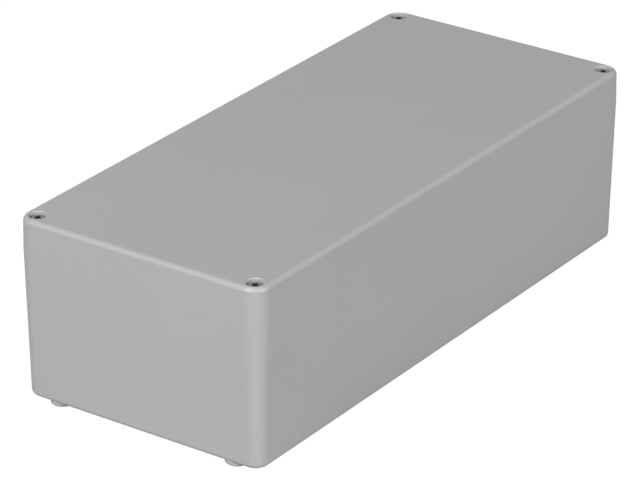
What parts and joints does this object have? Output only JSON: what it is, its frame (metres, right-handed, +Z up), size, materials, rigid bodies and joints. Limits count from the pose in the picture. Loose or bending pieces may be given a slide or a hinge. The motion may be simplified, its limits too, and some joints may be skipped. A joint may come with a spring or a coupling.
{
  "type": "abs enclosure",
  "caption": "Long shallow moulded box with drafted walls, rounded corners, a flat gasketed lid held by sunk cross-recess screws, and hollow round feet.",
  "frame": {"origin": "on the ground, midway between the four feet", "axes": "+X along the box's length, +Y along its width, +Z up through the lid"},
  "size_m": [0.25, 0.1106, 0.075],
  "materials": {
    "grey_abs": "fine satin moulded",
    "seal_rubber": "soft matt",
    "screw_steel": "plain turned",
    "washer_nylon": "satin",
    "insert_brass": "plain turned"
  },
  "bodies": {
    "base": {"base_shell": "grey_abs", "thread_insert_1": "insert_brass", "thread_insert_2": "insert_brass", "thread_insert_3": "insert_brass", "thread_insert_4": "insert_brass"},
    "lid": {"lid": "grey_abs", "lid_gasket": "seal_rubber"},
    "retainer_1": {"screw_retainer_1": "washer_nylon"},
    "screw_1": {"lid_screw_1": "screw_steel"},
    "retainer_2": {"screw_retainer_2": "washer_nylon"},
    "screw_2": {"lid_screw_2": "screw_steel"},
    "retainer_3": {"screw_retainer_3": "washer_nylon"},
    "screw_3": {"lid_screw_3": "screw_steel"},
    "retainer_4": {"screw_retainer_4": "washer_nylon"},
    "screw_4": {"lid_screw_4": "screw_steel"}
  },
  "joints": [
    {"name": "lid_lift", "type": "slide", "parent": "base", "child": "lid", "axis": [0, 0, 1], "range_m": [0, 0.08]},
    {"name": "screw_1_rise", "type": "slide", "parent": "lid", "child": "retainer_1", "axis": [0, 0, 1], "range_m": [0, 0.0065]},
    {"name": "screw_1_turn", "type": "hinge", "parent": "retainer_1", "child": "screw_1", "pos_m": [-0.119, -0.04925, 0.0615], "axis": [0, 0, 1], "range_deg": [0, 3343]},
    {"name": "screw_2_rise", "type": "slide", "parent": "lid", "child": "retainer_2", "axis": [0, 0, 1], "range_m": [0, 0.0065]},
    {"name": "screw_2_turn", "type": "hinge", "parent": "retainer_2", "child": "screw_2", "pos_m": [0.119, -0.04925, 0.0615], "axis": [0, 0, 1], "range_deg": [0, 3343]},
    {"name": "screw_3_rise", "type": "slide", "parent": "lid", "child": "retainer_3", "axis": [0, 0, 1], "range_m": [0, 0.0065]},
    {"name": "screw_3_turn", "type": "hinge", "parent": "retainer_3", "child": "screw_3", "pos_m": [0.119, 0.04925, 0.0615], "axis": [0, 0, 1], "range_deg": [0, 3343]},
    {"name": "screw_4_rise", "type": "slide", "parent": "lid", "child": "retainer_4", "axis": [0, 0, 1], "range_m": [0, 0.0065]},
    {"name": "screw_4_turn", "type": "hinge", "parent": "retainer_4", "child": "screw_4", "pos_m": [-0.119, 0.04925, 0.0615], "axis": [0, 0, 1], "range_deg": [0, 3343]}
  ],
  "couplings": [
    {"joint": "screw_1_turn", "follows": "screw_1_rise", "rad_per_m": 8976},
    {"joint": "screw_2_turn", "follows": "screw_2_rise", "rad_per_m": 8976},
    {"joint": "screw_3_turn", "follows": "screw_3_rise", "rad_per_m": 8976},
    {"joint": "screw_4_turn", "follows": "screw_4_rise", "rad_per_m": 8976}
  ]
}
